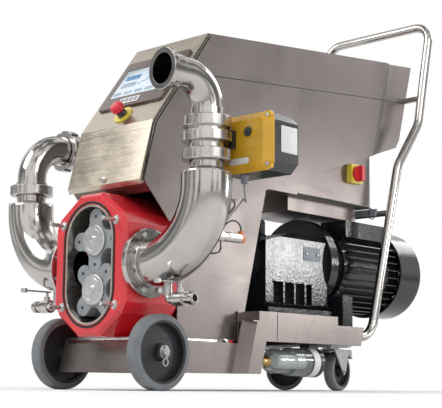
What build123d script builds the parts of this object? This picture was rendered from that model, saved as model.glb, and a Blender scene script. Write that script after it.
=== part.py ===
"""Mobile rotary lobe pump: one STEP file per sub-part, millimetres, +Z up.

Machine frame while modelling: X is across the trolley, Y runs from the pump head
to the handle, Z is up from the floor, and the front axle lies on Y = 0.
move_to_origin() then puts the origin on the floor under the middle of the whole part.
"""
from build123d import *
from math import atan2, cos, degrees, hypot, pi, radians, sin, tan
import os

# ---------------------------------------------------------------- driving dimensions
LEAN = radians(15)            # common backward lean of frame ends, pedestal and handle

# pump head
SHAFT_SPACING = 135.0         # distance between the two rotor shafts
PUMP_Z = 336.0                # height of the port axis, midway between the shafts
UPPER_Z = PUMP_Z + SHAFT_SPACING / 2
LOWER_Z = PUMP_Z - SHAFT_SPACING / 2
HEAD_FRONT, HEAD_BACK = -80.0, 115.0
HEAD_HALF_W, HEAD_HALF_H = 144.0, 194.0
HEAD_TOP = PUMP_Z + HEAD_HALF_H
ROTOR_FRONT, CHAMBER_BACK = -58.0, 62.0
CHAMBER_R = 90.0
LINER_WALL = 6.0
LOBES = 4
ROTOR_GAP = 0.25              # each rotor is this much smaller than its true profile
CAP_R = 43.0
SHAFT_R = 20.0
RUN_GAP = 0.05                # radial clearance of a running fit
STUD_X, STUD_Z, STUD_R = 107.0, 113.0, 6.0
STUD_TIP = -130.0
SHOULDER_R = 10.0
SEAL_R = 101.5                # centre line of the front O-ring round each shaft axis
GEAR_CASE_BACK = 190.0
GEAR_FRONT, GEAR_BACK = 124.0, 154.0
GEAR_TEETH = 30

# pipework
PIPE_X = 361.0                # distance of the two risers from the pump's middle
BIG_R = 66.5                  # outside radius of the DN 125 elbows
PIPE_R = 42.5                 # outside radius of the DN 80 tube
BORE_R = 40.5                 # inside radius of the DN 80 tube
THREAD_R = 55.0               # male round-thread end, Rd 110
NUT_R = 63.5                  # slotted union nut, 127 across
LIP_R = 46.2                  # opening in the nut's lip, clear of the 92 mm collars
BIG_BEND = 190.0
PORT_FLANGE_R = 93.0
FLANGE_FACE = 160.0
RIGHT_RISER_TOP, LEFT_RISER_TOP = 554.0, 548.0
VALVE_Z = 648.0
RIGHT_BEND, LEFT_BEND = 82.0, 103.0
RIGHT_BEND_Z, LEFT_BEND_Z = 725.0, 622.0
VALVE_TOP = 690.0
RIGHT_TURN = 6.6              # degrees that the discharge elbow is turned from straight ahead
DRAIN_Z = 236.0
DRAIN_X = 272.0
SENSOR_FOOT = (344.0, 56.0, 401.0)

# trolley
INNER_X, OUTER_X = 165.0, 205.0
SHEET = 4.0
SKIRT_Z, DECK_Z, BEAM_Z, REAR_Z, STEP_Z = 48.0, 134.0, 141.0, 200.0, 227.0
FRAME_END = 899.0
BASE_TOP = 142.0
WHEEL_R, WHEEL_IN, WHEEL_OUT = 100.0, 176.0, 214.0
AXLE_R = 10.0
CASTER_X, CASTER_Y, CASTER_R, CASTER_TRAIL = 121.0, 835.0, 62.5, 42.0
CASTER_TURN = {"right": 9.0, "left": -53.0}
KING_PIN_R, PEDAL_PIN_R = 8.0, 3.5
PEDAL_PIN = (88.0, 119.0)     # brake pedal hinge: distance behind the king pin, and height
CROWN_LOW, CROWN_TOP = 127.0, 131.0

# handle
HANDLE_R = 15.0
HANDLE_PATH = [(186, 850, 172), (186, 963, 172), (207, 1099, 752), (213, 1219, 915), (226, 1286, 1285)]
HANDLE_BENDS = [70, 90, 90, 60]
CROSS_BAR_Z, STAY_Z = 588.0, 1010.0

# cabinet
CAB_X = 150.0
APEX, BEND, CHIN = (221.0, 1023.5), (8.0, 732.0), (-37.5, 560.0)
CHIN_LOW, KEEL = (-30.0, 548.0), (77.0, 457.0)
TAIL_LOW, TAIL_BEND = (1191.0, 837.5), (1212.0, 868.0)
TAIL_SEAM, TAIL_TOP = (1252.0, 1005.0), (1294.0, 1146.0)
PANEL_T, GASKET_T, SKIN = 12.0, 3.0, 3.0
KEEL_SLOPE = (TAIL_LOW[1] - KEEL[1]) / (TAIL_LOW[0] - KEEL[0])
BOX_X, BOX_BACK, BOX_Z = 140.0, 1030.0, 603.0
TRAY_X, TRAY_Z = 105.0, 558.0
SIDE_STEP = 12.0
SWITCH_Y, SWITCH_Z = 932.0, 706.0
ESTOP_PLACE = (0.0, 46.0)     # across the panel, and up its slope from the bend

# drive
GEARBOX_FRONT, GEARBOX_BACK = 505.0, 805.0
MOTOR_R, COWL_R, FLANGE_R = 146.0, 152.0, 150.0
OUTPUT_R = 24.0
BREATHER = (96.0, 522.0)
MOTOR_SHAFT_R = 21.0

# air filter
FILTER_X, FILTER_Z = 158.0, 86.0

# valve actuator
ACT_X = (312.0, 513.0)
ACT_Z = (562.0, 717.0)
ACT_FRONT, ACT_SPLIT, ACT_BACK = 67.0, 91.0, 202.0
GLAND_X, GLAND_Y = 392.0, 112.0


# ---------------------------------------------------------------- shape helpers
def block(x, y, z):
    """Box between two values on each axis."""
    size = [pair[1] - pair[0] for pair in (x, y, z)]
    centre = [(pair[1] + pair[0]) / 2 for pair in (x, y, z)]
    return Pos(*centre) * Box(*size)


def rod(axis, start, end, a, b, radius):
    """Cylinder along X, Y or Z; a and b place it on the other two axes in order."""
    length, middle = end - start, (end + start) / 2
    if axis == "X":
        return Pos(middle, a, b) * Rot(0, 90, 0) * Cylinder(radius, length)
    if axis == "Y":
        return Pos(a, middle, b) * Rot(90, 0, 0) * Cylinder(radius, length)
    return Pos(a, b, middle) * Cylinder(radius, length)


def side_prism(points, x_low, x_high):
    """Outline drawn in Y and Z, carried across X."""
    face = Plane.YZ.offset(x_low) * Polygon(*points, align=None)
    return extrude(face, x_high - x_low, dir=(1, 0, 0))


def front_prism(points, y_low, y_high):
    """Outline drawn in X and Z, carried along Y."""
    return along_y(Polygon(*points, align=None), y_low, y_high)


def along_y(sketch, y_low, y_high):
    """Sketch drawn in X and Z, carried along Y."""
    return extrude(Plane.XZ.offset(-y_low) * sketch, y_high - y_low, dir=(0, 1, 0))


def leaning_prism(points, z_low, z_high):
    """Outline drawn in X and Y, carried up along the common lean."""
    face = Plane.XY.offset(z_low) * Polygon(*points, align=None)
    return extrude(face, (z_high - z_low) / cos(LEAN), dir=(0, sin(LEAN), cos(LEAN)))


def turned(profile, x=0.0, y=0.0, z=0.0, axis="Z"):
    """Solid of revolution from (radius, height) points, its axis along X, Y or Z."""
    face = Plane.XZ * Polygon(*profile, align=None)
    solid = revolve(face, Axis.Z)
    spin = {"X": Rot(0, 90, 0), "Y": Rot(-90, 0, 0), "Z": Rot(0, 0, 0)}[axis]
    return Pos(x, y, z) * spin * solid


def stadium(radius, y_low, y_high):
    """Slot-shaped bar round both shaft axes."""
    slot = SlotCenterToCenter(SHAFT_SPACING, 2 * radius, rotation=90)
    return along_y(Pos(0, PUMP_Z) * slot, y_low, y_high)


def pipe_along(path, radius):
    """Round bar swept along a wire."""
    start = path.location_at(0)
    return sweep(Plane(start) * Circle(radius), path=path)


def mirrored(solid):
    return mirror(solid, Plane.YZ)


def both_sides(solid):
    return [solid, mirrored(solid)]


def group(solids):
    """Several separate solids that share one node."""
    return Compound(children=[piece for item in solids for piece in item.solids()])


def polar(radius, angle):
    return (radius * cos(angle), radius * sin(angle))


def inset(points, distance):
    """Open chain of (y, z) points moved to its right-hand side by a distance."""
    moved = []
    for index, (y, z) in enumerate(points):
        before = points[max(index - 1, 0)]
        after = points[min(index + 1, len(points) - 1)]
        turn_in = atan2(z - before[1], y - before[0]) if index else None
        turn_out = atan2(after[1] - z, after[0] - y) if index < len(points) - 1 else turn_in
        turn_in = turn_out if turn_in is None else turn_in
        half = (turn_out - turn_in) / 2
        angle = (turn_in + turn_out) / 2 - pi / 2
        moved.append((y + distance / cos(half) * cos(angle), z + distance / cos(half) * sin(angle)))
    return moved


# ---------------------------------------------------------------- pump head
def head_outline():
    right = [(HEAD_HALF_W, 106.0), (126.0, 136.0), (45.0, HEAD_HALF_H)]
    upper = right + [(-x, z) for x, z in reversed(right)]
    ring = upper + [(-x, -z) for x, z in upper]
    return [(x, PUMP_Z + z) for x, z in ring]


def pump_casing():
    body = front_prism(head_outline(), HEAD_FRONT, HEAD_BACK)
    front_edges = body.edges().filter_by_position(Axis.Y, HEAD_FRONT - 0.1, HEAD_FRONT + 0.1)
    body = chamfer(front_edges, 9)
    body += block((-150, 150), (-24, 340), (DECK_Z, BASE_TOP))
    body -= stadium(CHAMBER_R + LINER_WALL, HEAD_FRONT - 1, CHAMBER_BACK)
    body -= stadium(SEAL_R + 3, HEAD_FRONT - 1, HEAD_FRONT + 4) - stadium(SEAL_R - 3, HEAD_FRONT - 2, 0)
    body -= rod("X", -200, 200, 0, PUMP_Z, 60)
    for height in (UPPER_Z, LOWER_Z):
        body -= rod("Y", CHAMBER_BACK - 1, HEAD_BACK + 1, 0, height, SHAFT_R + 12)
    for x, z in stud_places():
        body -= rod("Y", HEAD_FRONT - 1, HEAD_FRONT + 22, x, z, STUD_R - 0.5)
        body -= rod("Y", HEAD_FRONT - 1, HEAD_FRONT + 2, x, z, SHOULDER_R)
    for angle in range(8):
        y, z = polar(78, radians(22.5 + 45 * angle))
        for x in (-HEAD_HALF_W, HEAD_HALF_W):
            body -= rod("X", x - 18, x + 18, y, PUMP_Z + z, 5)
    return body


def stud_places():
    return [(x, PUMP_Z + z) for x in (-STUD_X, STUD_X) for z in (-STUD_Z, STUD_Z)]


def chamber_liner():
    ring = stadium(CHAMBER_R + LINER_WALL, HEAD_FRONT, CHAMBER_BACK)
    ring -= stadium(CHAMBER_R, HEAD_FRONT - 1, CHAMBER_BACK + 1)
    return ring - rod("X", -200, 200, 0, PUMP_Z, 58)


def casing_seal():
    return stadium(SEAL_R + 3, HEAD_FRONT - 2, HEAD_FRONT + 4) - stadium(SEAL_R - 3, HEAD_FRONT - 3, 0)


def cover_studs():
    """Four shoulder studs: the shoulder sits in a shallow seat in the casing's front face."""
    studs = []
    for x, z in stud_places():
        stud = rod("Y", STUD_TIP, HEAD_FRONT - 4, x, z, STUD_R)
        stud = chamfer(stud.edges().filter_by_position(Axis.Y, STUD_TIP - 1, STUD_TIP + 1), 1.5)
        stud += rod("Y", HEAD_FRONT - 4, HEAD_FRONT + 2, x, z, SHOULDER_R)
        studs.append(stud + rod("Y", HEAD_FRONT + 2, HEAD_FRONT + 22, x, z, STUD_R - 0.5))
    return group(studs)


def shaft_bearings():
    rings = []
    for height in (UPPER_Z, LOWER_Z):
        for low, high in ((CHAMBER_BACK, 80.0), (86.0, HEAD_BACK), (160.0, GEAR_CASE_BACK - 4)):
            outer = rod("Y", low, high, 0, height, SHAFT_R + 12)
            rings.append(outer - rod("Y", low - 1, high + 1, 0, height, SHAFT_R + RUN_GAP))
    return group(rings)


def gear_case():
    case = stadium(88, HEAD_BACK, GEAR_CASE_BACK)
    case += block((-70, 70), (HEAD_BACK, GEAR_CASE_BACK), (BASE_TOP, PUMP_Z))
    case -= stadium(76, HEAD_BACK - 1, 160)
    for height in (UPPER_Z, LOWER_Z):
        case -= rod("Y", 150, GEAR_CASE_BACK - 4, 0, height, SHAFT_R + 12)
    return case - rod("Y", 150, GEAR_CASE_BACK + 1, 0, UPPER_Z, SHAFT_R + 2)


def rotor_outline(phase):
    """Four round-tipped lobes and the hollows that the mating lobes sweep.

    Each tip is an arc on a centre at tip_centre. In the frame of this rotor that
    centre of the mate runs on path(), and the hollow is the curve at one tip radius
    from it, towards the rolling point of the two pitch circles.
    """
    pitch_r = SHAFT_SPACING / 2
    half_lobe = pi / (2 * LOBES)
    tip_centre = pitch_r * cos(half_lobe)
    tip_r = pitch_r * sin(half_lobe)

    def hollow_point(turn):
        cx = SHAFT_SPACING * cos(turn) - tip_centre * cos(2 * turn)
        cy = SHAFT_SPACING * sin(turn) - tip_centre * sin(2 * turn)
        rx, ry = pitch_r * cos(turn) - cx, pitch_r * sin(turn) - cy
        reach = (tip_r + ROTOR_GAP) / hypot(rx, ry)
        return (cx + rx * reach, cy + ry * reach)

    def spun(point, angle):
        x, y = point
        return (x * cos(angle) - y * sin(angle), x * sin(angle) + y * cos(angle))

    hollow = [hollow_point(half_lobe * step / 5) for step in range(-5, 6)]
    edges = []
    for lobe in range(LOBES):
        middle = phase + 2 * pi * lobe / LOBES
        low = spun(hollow[-1], middle - 2 * half_lobe)
        high = spun(hollow[0], middle + 2 * half_lobe)
        peak = spun((tip_centre + tip_r - ROTOR_GAP, 0), middle)
        edges.append(ThreePointArc(low, peak, high))
        edges.append(Spline(*[spun(point, middle + 2 * half_lobe) for point in hollow]))
    return make_face(edges)


def rotor(height, phase):
    body = along_y(Pos(0, height) * rotor_outline(phase), ROTOR_FRONT, CHAMBER_BACK - 1)
    return body - rod("Y", ROTOR_FRONT - 1, CHAMBER_BACK, 0, height, SHAFT_R)


def rotor_cap(height):
    disc = [(0, 0), (CAP_R - 2, 0), (CAP_R, 2), (CAP_R, 8), (0, 8)]
    cap = turned(disc, 0, ROTOR_FRONT - 8, height, "Y")
    return cap + rod("Y", ROTOR_FRONT - 12, ROTOR_FRONT - 7, 0, height, 11)


def rotor_shaft(height, end):
    return rod("Y", ROTOR_FRONT, end, 0, height, SHAFT_R)


def timing_gear(height, phase):
    """Spur gear with straight flanks; pitch circle half the shaft spacing."""
    pitch_r = SHAFT_SPACING / 2
    module = SHAFT_SPACING / GEAR_TEETH
    tip, root = pitch_r + 0.85 * module, pitch_r - 1.1 * module
    step = 2 * pi / GEAR_TEETH
    points = []
    for tooth in range(GEAR_TEETH):
        middle = phase + tooth * step
        for radius, half in ((root, 0.33), (tip, 0.12), (tip, -0.12), (root, -0.33)):
            points.append(polar(radius, middle - half * step))
    wheel = along_y(Pos(0, height) * Polygon(*points, align=None), GEAR_FRONT, GEAR_BACK)
    return wheel - rod("Y", GEAR_FRONT - 1, GEAR_BACK + 1, 0, height, SHAFT_R)


def shaft_coupling():
    """Two hubs, the soft spider between them, and the gear unit's output shaft."""
    def drum(low, high, radius, bore):
        return rod("Y", low, high, 0, UPPER_Z, radius) - rod("Y", low - 1, high + 1, 0, UPPER_Z, bore)

    return group([drum(205, 245, 50, SHAFT_R), drum(245, 262, 46, 26), drum(262, 305, 50, OUTPUT_R),
                  rod("Y", 262, GEARBOX_FRONT + 30, 0, UPPER_Z, OUTPUT_R)])


# ---------------------------------------------------------------- pipework
def bend_path(riser_top):
    """Centre line of the right-hand elbow, from its flange to the top of its riser."""
    path = Polyline((FLANGE_FACE, 0, PUMP_Z), (PIPE_X - BIG_BEND, 0, PUMP_Z))
    path += TangentArc((PIPE_X - BIG_BEND, 0, PUMP_Z), (PIPE_X, 0, PUMP_Z + BIG_BEND), tangent=(1, 0, 0))
    return path + Polyline((PIPE_X, 0, PUMP_Z + BIG_BEND), (PIPE_X, 0, riser_top))


def big_elbow(riser_top):
    """Right-hand port elbow: flange, 90 degree bend, riser and reducing neck."""
    path = bend_path(riser_top)
    outer = pipe_along(path, BIG_R)
    inner = pipe_along(path, BIG_R - 3)
    flange = turned([(58, 0), (PORT_FLANGE_R - 2, 0), (PORT_FLANGE_R, 2), (PORT_FLANGE_R, 14),
                     (PORT_FLANGE_R - 2, 16), (69, 16), (69, 20), (67, 26), (66, 26), (58, 16)],
                    HEAD_HALF_W, 0, PUMP_Z, "X")
    for angle in range(8):
        y, z = polar(78, radians(22.5 + 45 * angle))
        flange -= rod("X", HEAD_HALF_W - 1, 190, y, PUMP_Z + z, 5)
    neck = turned([(BORE_R, 0), (BIG_R - 4, 0), (BIG_R, 0), (BIG_R - 1.5, 4), (52, 8), (PIPE_R, 14),
                   (PIPE_R, 40), (53, 40), (53, 46), (BORE_R, 46)], PIPE_X, 0, riser_top)
    return outer + flange + neck - inner - rod("X", 100, FLANGE_FACE + 20, 0, PUMP_Z, 58)


def drain_stub(elbow):
    """Adds the drain branch under the elbow, opening into its bore."""
    turn = 14.0
    low, end = DRAIN_X - 46, DRAIN_X - 30
    path = Polyline((low, 0, PUMP_Z - 40), (low, 0, DRAIN_Z + turn))
    path += TangentArc((low, 0, DRAIN_Z + turn), (low + turn, 0, DRAIN_Z), tangent=(0, 0, -1))
    path += Polyline((low + turn, 0, DRAIN_Z), (end, 0, DRAIN_Z))
    return elbow + pipe_along(path, 12) - pipe_along(path, 9)


def union_nut(low, x=0.0, y=0.0, z=0.0, flip=False, axis="Z"):
    """Round nut with six slots; its lip is at the low end unless flipped."""
    lip, height = 7.0, 29.0
    profile = [(LIP_R, 0), (NUT_R - 2, 0), (NUT_R, 2), (NUT_R, height - 2), (NUT_R - 2, height),
               (THREAD_R, height), (THREAD_R, lip), (LIP_R, lip)]
    nut = turned(profile)
    for index in range(6):
        slot = block((NUT_R - 5, NUT_R + 5), (-7, 7), (-1, height + 1))
        nut -= Rot(0, 0, 60 * index + 15) * slot
    if flip:
        nut = Pos(0, 0, height) * Rot(180, 0, 0) * nut
    if axis == "Y":
        nut = Rot(-90, 0, 0) * nut
    return Pos(x, y, z) * Pos(0, low if axis == "Y" else 0, 0 if axis == "Y" else low) * nut


def elbow_frame():
    """Location that turns the discharge elbow about its riser."""
    return Pos(PIPE_X, 0, 0) * Rot(0, 0, -RIGHT_TURN)


def discharge_point(depth):
    """Point on the axis of the discharge bore, this far in from its mouth."""
    x, y = polar(RIGHT_BEND + 69 - depth, radians(-90 - RIGHT_TURN))
    return (PIPE_X + x, y, RIGHT_BEND_Z + RIGHT_BEND)


def discharge_axis():
    x, y = polar(1, radians(-90 - RIGHT_TURN))
    return (x, y, 0)


def union_nuts():
    return group([
        union_nut(RIGHT_RISER_TOP + 33, PIPE_X),
        union_nut(VALVE_Z + 26, PIPE_X, flip=True),
        union_nut(LEFT_RISER_TOP + 33 - 12, -PIPE_X),
        union_nut(LEFT_BEND + 11, -PIPE_X, 0, LEFT_BEND_Z + LEFT_BEND, axis="Y"),
    ])


def valve_body():
    low = RIGHT_RISER_TOP + 46
    profile = [(BORE_R, low), (THREAD_R, low), (THREAD_R, 615), (46, 615), (46, 634), (44, 634), (44, 636),
               (65, 636), (65, 661), (50, 661), (50, 672), (THREAD_R, 672), (THREAD_R, VALVE_TOP),
               (BORE_R, VALVE_TOP)]
    body = turned(profile, PIPE_X)
    body += rod("Y", 50, ACT_FRONT, PIPE_X, VALVE_Z, 17)
    body -= rod("Z", low, VALVE_TOP, PIPE_X, 0, BORE_R)
    return body - rod("Y", 0, 75, PIPE_X, VALVE_Z, 7 + RUN_GAP)


def valve_disc():
    plate = rod("X", PIPE_X - 3, PIPE_X + 3, 0, VALVE_Z, BORE_R - 0.6)
    return plate + rod("Y", -30, ACT_FRONT + 20, PIPE_X, VALVE_Z, 7)


def right_upper_elbow():
    """Quarter bend over the valve, ending in the threaded discharge mouth."""
    base, bend_z = VALVE_TOP, RIGHT_BEND_Z
    tail = RIGHT_BEND + 66
    path = Polyline((0, 0, base), (0, 0, bend_z))
    path += TangentArc((0, 0, bend_z), (0, -RIGHT_BEND, bend_z + RIGHT_BEND), tangent=(0, 0, 1))
    path += Polyline((0, -RIGHT_BEND, bend_z + RIGHT_BEND), (0, -tail, bend_z + RIGHT_BEND))
    tube = pipe_along(path, PIPE_R)
    collar = turned([(BORE_R, base), (53, base), (53, base + 6), (46, base + 6), (46, base + 34),
                     (BORE_R, base + 34)])
    end = turned([(BORE_R, 0), (THREAD_R - 1.5, 0), (THREAD_R, 1.5), (THREAD_R, 14), (THREAD_R - 4, 17),
                  (46, 19), (46, 44), (BORE_R, 46)], 0, -tail - 3, bend_z + RIGHT_BEND, "Y")
    mouth = rod("Y", -tail - 9, -tail + 20, 0, bend_z + RIGHT_BEND, BORE_R)
    return elbow_frame() * (tube + collar + end - pipe_along(path, BORE_R) - mouth)


def left_upper_elbow():
    """Quarter bend to the suction mouth, with the threaded end piece in its last nut."""
    base, bend_z = LEFT_RISER_TOP + 34, LEFT_BEND_Z
    path = Polyline((0, 0, base), (0, 0, bend_z))
    path += TangentArc((0, 0, bend_z), (0, LEFT_BEND, bend_z + LEFT_BEND), tangent=(0, 0, 1))
    path += Polyline((0, LEFT_BEND, bend_z + LEFT_BEND), (0, LEFT_BEND + 24, bend_z + LEFT_BEND))
    tube = pipe_along(path, PIPE_R)
    collar = turned([(BORE_R, base), (THREAD_R, base), (THREAD_R, base + 9), (46, base + 9),
                     (46, base + 26), (BORE_R, base + 26)])
    flare = turned([(BORE_R, 0), (53, 0), (53, 6), (BORE_R, 6)], 0, LEFT_BEND + 18, bend_z + LEFT_BEND, "Y")
    elbow = Pos(-PIPE_X, 0, 0) * (tube + collar + flare - pipe_along(path, BORE_R))
    stub = turned([(BORE_R, 0), (THREAD_R, 0), (THREAD_R, 30), (BORE_R, 30)],
                  -PIPE_X, LEFT_BEND + 24, bend_z + LEFT_BEND, "Y")
    return group([elbow, stub])


def port_bolts():
    bolts = []
    for angle in range(8):
        y, z = polar(78, radians(22.5 + 45 * angle))
        shank = rod("X", HEAD_HALF_W - 16, FLANGE_FACE, y, PUMP_Z + z, 5)
        head = Pos(FLANGE_FACE, y, PUMP_Z + z) * Rot(0, 90, 0) * extrude(RegularPolygon(8, 6), 6)
        bolts += both_sides(shank + head)
    return group(bolts)


def drain_body():
    """Small ball valve under each elbow."""
    low, high = DRAIN_X - 30, DRAIN_X + 52
    body = rod("X", low, high, 0, DRAIN_Z, 14)
    body += rod("X", DRAIN_X - 17, DRAIN_X + 17, 0, DRAIN_Z, 19)
    body += rod("Z", DRAIN_Z, DRAIN_Z + 28, DRAIN_X, 0, 9)
    body += rod("X", high - 14, high, 0, DRAIN_Z, 17)
    body -= rod("X", low - 1, high + 1, 0, DRAIN_Z, 9)
    body -= Pos(DRAIN_X, 0, DRAIN_Z) * Sphere(14.2)
    return body - rod("Z", DRAIN_Z, DRAIN_Z + 40, DRAIN_X, 0, 4 + RUN_GAP)


def drain_lever():
    """Ball, stem and lever of a drain valve, in the closed position."""
    ball = Pos(DRAIN_X, 0, DRAIN_Z) * Sphere(14) - rod("Y", -20, 20, DRAIN_X, DRAIN_Z, 9)
    stem = rod("Z", DRAIN_Z + 10, DRAIN_Z + 44, DRAIN_X, 0, 4)
    arm = block((DRAIN_X - 7, DRAIN_X + 7), (-84, 9), (DRAIN_Z + 40, DRAIN_Z + 44))
    knob = rod("Z", DRAIN_Z + 36, DRAIN_Z + 48, DRAIN_X, -84, 9)
    return ball + stem + arm + knob


def line_sensor():
    """Temperature sensor off the back of the bend: weld boss, body and angled plug."""
    place = Plane(origin=SENSOR_FOOT, x_dir=(1, 0, 0), z_dir=(-0.12, 0.99, 0.03)).location
    boss = turned([(0, 0), (15, 0), (15, 22), (13, 24), (0, 24)])
    body = turned([(0, 24), (11, 24), (11, 46), (13, 48), (13, 104), (12, 105), (0, 105)])
    plug = turned([(0, 105), (12.5, 105), (12.5, 119), (10, 122), (0, 122)])
    x, y, z = SENSOR_CABLE[0]
    skin = pipe_along(bend_path(RIGHT_RISER_TOP), BIG_R + RUN_GAP)
    return group([place * (boss + body) - skin, place * plug + rod("Z", z - 20, z, x, y, 7.5)])


# ---------------------------------------------------------------- valve actuator
def corner_cut_box(x, y, z, cut):
    box = block(x, y, z)
    return chamfer(box.edges().filter_by(Axis.Y), cut)


def actuator_base():
    """Gear case of the actuator: bevelled front, socket for the valve stem."""
    base = corner_cut_box(ACT_X, (ACT_FRONT, ACT_SPLIT), ACT_Z, 18)
    front = base.edges().filter_by_position(Axis.Y, ACT_FRONT - 0.1, ACT_FRONT + 0.1)
    base = chamfer(front, 20, 22)
    lugs = [rod("Y", ACT_SPLIT - 12, ACT_SPLIT, x, z, 9)
            for x in (ACT_X[0] + 11, ACT_X[1] - 11) for z in (ACT_Z[0] + 11, ACT_Z[1] - 11)]
    for lug in lugs:
        base += lug
    base += rod("Y", ACT_FRONT - 3, ACT_FRONT, ACT_X[1] - 67, 664, 14)
    return base - rod("Y", ACT_FRONT - 9, ACT_SPLIT - 4, PIPE_X, VALVE_Z, 7 + RUN_GAP)


def actuator_cover():
    x, z = (ACT_X[0] + 1, ACT_X[1] - 1), (ACT_Z[0] + 1, ACT_Z[1] - 1)
    cover = corner_cut_box(x, (ACT_SPLIT, ACT_BACK), z, 24)
    back = cover.edges().filter_by_position(Axis.Y, ACT_BACK - 0.1, ACT_BACK + 0.1)
    return chamfer(back, 14)


def actuator_bracket():
    """Mounting lug beside the valve neck with its two bolts."""
    low_x = PIPE_X + 19
    lug = block((low_x, low_x + 22), (56, ACT_FRONT), (VALVE_Z - 24, VALVE_Z + 24))
    lug -= rod("Z", 600, 700, PIPE_X, 0, 66)
    for z in (-19.5, 19.5):
        lug += rod("Y", 49, 57, low_x + 15, VALVE_Z + z, 4.5)
    lug -= rod("Y", 40, 70, PIPE_X, VALVE_Z, 18.5)
    return lug


def actuator_gland():
    nut = rod("Z", ACT_Z[0] - 10, ACT_Z[0], GLAND_X, GLAND_Y, 12)
    return nut + rod("Z", ACT_Z[0] - 22, ACT_Z[0] - 10, GLAND_X, GLAND_Y, 9)


# ---------------------------------------------------------------- trolley
def trolley_frame():
    lean = tan(LEAN)
    front_low = -38.7
    front_high = front_low + (DECK_Z - SKIRT_Z) * lean
    inner_low, outer_low, notch_low = 321.0, 343.0, 397.0
    inner_high = inner_low + (DECK_Z - SKIRT_Z) * lean
    outer_high = outer_low + (REAR_Z - SKIRT_Z) * lean
    notch_high = notch_low + (BEAM_Z - SKIRT_Z) * lean
    end_low = FRAME_END - (REAR_Z - BEAM_Z) * lean
    front_side = side_prism([(front_low, SKIRT_Z), (front_high, DECK_Z), (inner_high, DECK_Z),
                             (inner_low, SKIRT_Z)], INNER_X - SHEET, INNER_X)
    corner = leaning_prism([(INNER_X, inner_low), (OUTER_X, outer_low), (OUTER_X, outer_low + SHEET * 1.6),
                            (OUTER_X - SHEET, outer_low + SHEET * 1.6), (INNER_X - SHEET, inner_low + SHEET),
                            (INNER_X - SHEET, inner_low)], SKIRT_Z, REAR_Z)
    rear_side = side_prism([(outer_low + 2, SKIRT_Z), (outer_high + 2, REAR_Z), (FRAME_END, REAR_Z),
                            (end_low, BEAM_Z), (notch_high, BEAM_Z), (notch_low, SKIRT_Z)],
                           OUTER_X - SHEET, OUTER_X)
    step_side = block((OUTER_X - SHEET, OUTER_X), (391, 763), (REAR_Z, STEP_Z))
    frame = side_prism([(front_low, SKIRT_Z), (front_high, DECK_Z), (front_high + SHEET, DECK_Z),
                        (front_low + SHEET, SKIRT_Z)], -INNER_X, INNER_X)
    for piece in (front_side, corner, rear_side, step_side):
        frame += piece + mirrored(piece)
    frame += block((-INNER_X, INNER_X), (front_high, 407), (DECK_Z - SHEET, DECK_Z))
    frame += block((-BOX_X - 6, BOX_X + 6), (403, 407), (DECK_Z - SHEET, STEP_Z))
    for ledge in (block((BOX_X + 2, OUTER_X), (365, 395), (REAR_Z - SHEET, REAR_Z)),
                  block((BOX_X + 2, OUTER_X), (391, 395), (REAR_Z - SHEET, STEP_Z)),
                  block((BOX_X + 2, BOX_X + 6), (365, 407), (DECK_Z - SHEET, STEP_Z))):
        frame += ledge + mirrored(ledge)
    frame += block((-OUTER_X, OUTER_X), (391, 763), (STEP_Z - SHEET, STEP_Z))
    frame += block((-OUTER_X, OUTER_X), (759, 763), (REAR_Z, STEP_Z))
    frame += block((-OUTER_X, OUTER_X), (759, FRAME_END - 4), (REAR_Z - SHEET, REAR_Z))
    frame += block((-OUTER_X, OUTER_X), (770, end_low), (BEAM_Z, BEAM_Z + SHEET))
    frame += block((-OUTER_X, OUTER_X), (end_low - SHEET, end_low), (BEAM_Z, REAR_Z - 1))
    frame -= rod("X", -300, 300, 0, WHEEL_R, AXLE_R)
    frame -= block((-BOX_X - 2, BOX_X + 2), (360, 403), (BEAM_Z, STEP_Z + 10))
    x, y, z = HANDLE_PATH[0]
    for side in (-x, x):
        frame -= rod("Y", y, 920, side, z, HANDLE_R)
    return frame


def front_axle():
    """Axle, and a washer and spring clip at each end."""
    axle = rod("X", -226, 226, 0, WHEEL_R, AXLE_R)
    axle -= rod("Z", WHEEL_R - 20, WHEEL_R + 20, 221, 0, 2)
    axle -= rod("Z", WHEEL_R - 20, WHEEL_R + 20, -221, 0, 2)
    washer = rod("X", 216.5, 218.5, 0, WHEEL_R, 18) - rod("X", 200, 230, 0, WHEEL_R, AXLE_R)
    clip = rod("Z", WHEEL_R - 18, WHEEL_R + 18, 221, 0, 1.9)
    loop = Pos(221, 0, WHEEL_R - 18) * Rot(0, 90, 0) * Torus(9, 1.9)
    return group([axle] + both_sides(washer) + both_sides(clip + Pos(0, 0, -8.5) * loop))


def front_wheel():
    """Right-hand wheel: dished disc with a boss, and a solid tyre round it."""
    middle = (WHEEL_IN + WHEEL_OUT) / 2
    bore = AXLE_R + RUN_GAP
    disc = turned([(bore, 172), (22, 172), (24, middle - 4), (77, middle - 8), (77, WHEEL_IN + 2),
                   (83, WHEEL_IN + 2), (83, WHEEL_OUT - 2), (77, WHEEL_OUT - 2), (77, middle - 2),
                   (24, middle + 3), (22, 215), (bore, 215)], 0, 0, WHEEL_R, "X")
    tyre = turned([(83, WHEEL_IN), (96, WHEEL_IN), (WHEEL_R, WHEEL_IN + 5), (WHEEL_R, WHEEL_OUT - 5),
                   (96, WHEEL_OUT), (83, WHEEL_OUT)], 0, 0, WHEEL_R, "X")
    return group([disc, tyre])


def caster_frame(side):
    sign = 1 if side == "right" else -1
    return Pos(sign * CASTER_X, CASTER_Y, 0) * Rot(0, 0, CASTER_TURN[side])


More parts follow.
